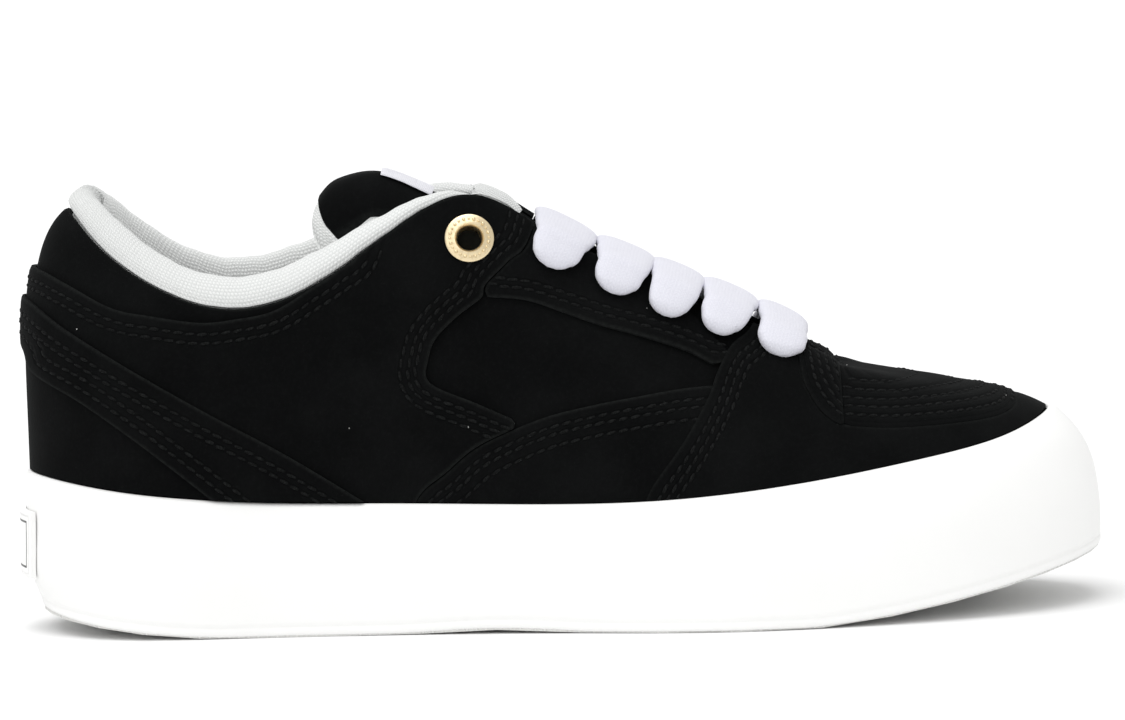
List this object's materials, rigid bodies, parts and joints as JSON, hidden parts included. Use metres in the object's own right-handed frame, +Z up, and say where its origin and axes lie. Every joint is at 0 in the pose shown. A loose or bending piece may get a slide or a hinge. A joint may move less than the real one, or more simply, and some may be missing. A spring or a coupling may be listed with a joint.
{
  "type": "skateboarding shoe",
  "caption": "Low black suede skateboarding shoe with a white rubber band round the sole, flat white laces, a padded white knit collar and pale gold top eyelets.",
  "frame": {"origin": "on the floor below the middle of the shoe's bounding box", "axes": "+X from heel to toe, -Y to the outer (lateral) side, +Z up"},
  "size_m": [0.296, 0.1084, 0.1221],
  "materials": {
    "suede": "napped suede",
    "rubber": "smooth matte rubber band",
    "tread": "matte moulded tread",
    "board": "bonded board",
    "insole": "woven cover on foam",
    "knit": "padded knitted mesh",
    "lace": "soft flat woven lace",
    "eyelet": "pale gold, satin",
    "label": "blank woven label"
  },
  "bodies": {
    "root": {"collar_lining": "knit", "eyelet_lateral": "eyelet", "eyelet_medial": "eyelet", "eyestay_lateral": "suede", "eyestay_medial": "suede", "foxing": "rubber", "heel_patch": "rubber", "heel_strap": "suede", "insole": "insole", "lace_bar_1": "lace", "lace_bar_2": "lace", "lace_bar_3": "lace", "lace_bar_4": "lace", "lace_bar_5": "lace", "midsole": "board", "outsole": "tread", "quarter": "suede", "side_panel_lateral": "suede", "side_panel_medial": "suede", "throat_tab": "suede", "toe_cover": "suede", "toe_panel": "suede", "tongue": "suede", "tongue_label": "label", "upper": "suede", "vamp": "suede"}
  },
  "joints": []
}
